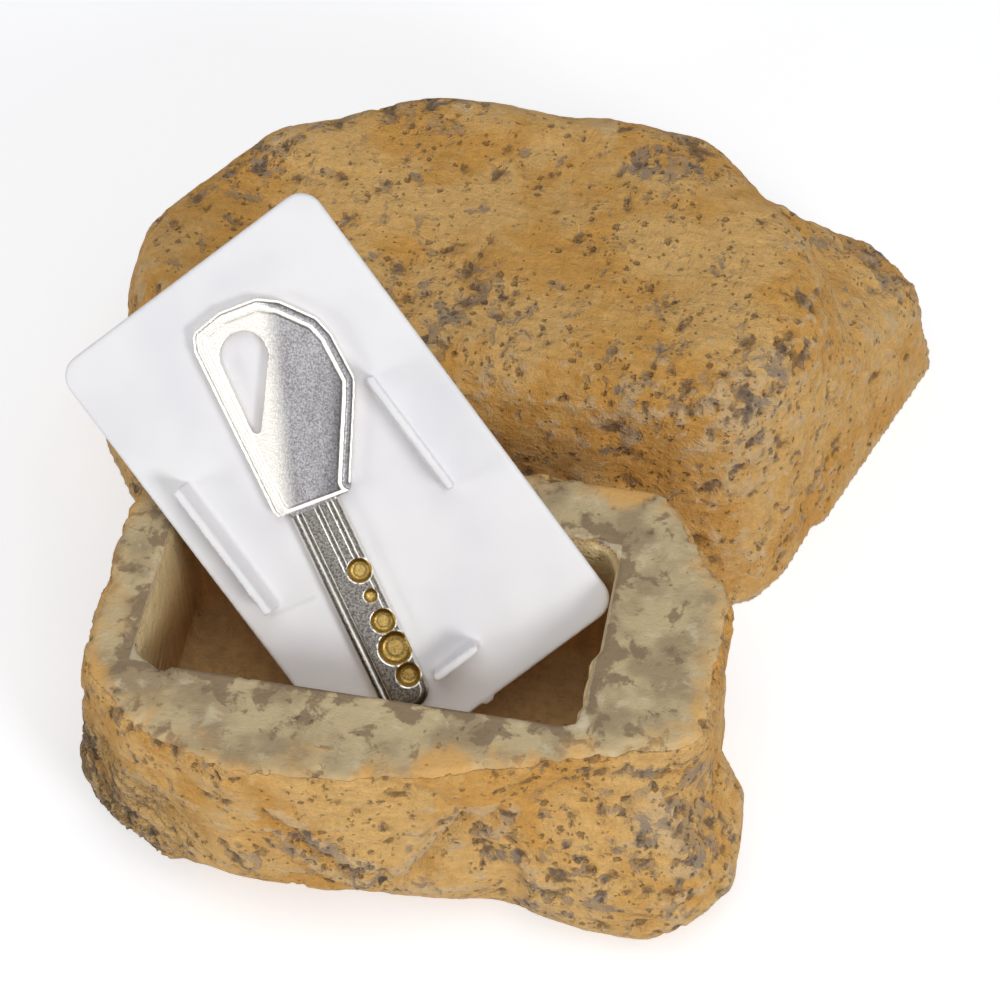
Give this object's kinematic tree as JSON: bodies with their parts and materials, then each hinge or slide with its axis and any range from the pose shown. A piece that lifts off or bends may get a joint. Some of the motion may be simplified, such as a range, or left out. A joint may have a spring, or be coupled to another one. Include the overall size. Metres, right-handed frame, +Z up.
{
  "type": "key hiding rock",
  "caption": "Cast stone that hides a spare key, with its lower half open to show the key compartment, the cover plate leaning in it and the key on the plate.",
  "frame": {"origin": "on the floor, under the middle of the key compartment in the lower stone", "axes": "+X along the compartment's length to the right, +Y to the back, +Z up; rest pose as pictured"},
  "size_m": [0.1268, 0.1358, 0.0719],
  "materials": {
    "stone": "matt, pitted, mottled ochre and grey",
    "plate": "smooth white moulding",
    "key_metal": "nickel plated, brushed panel, brass dimples"
  },
  "bodies": {
    "lower": {"lower_stone": "stone"},
    "upper": {"upper_stone": "stone"},
    "cover": {"cover_plate": "plate"},
    "key": {"key": "key_metal"}
  },
  "joints": [
    {"name": "upper_stone_lift", "type": "slide", "parent": "lower", "child": "upper", "axis": [-0.1175, 0.7097, 0.6947], "range_m": [0, 0.06]},
    {"name": "cover_plate_slide", "type": "slide", "parent": "lower", "child": "cover", "axis": [-0.6913, 0.4656, 0.5526], "range_m": [0, 0.05]},
    {"name": "key_slide", "type": "slide", "parent": "cover", "child": "key", "axis": [-0.5352, 0.5679, 0.6254], "range_m": [0, 0.04]}
  ]
}
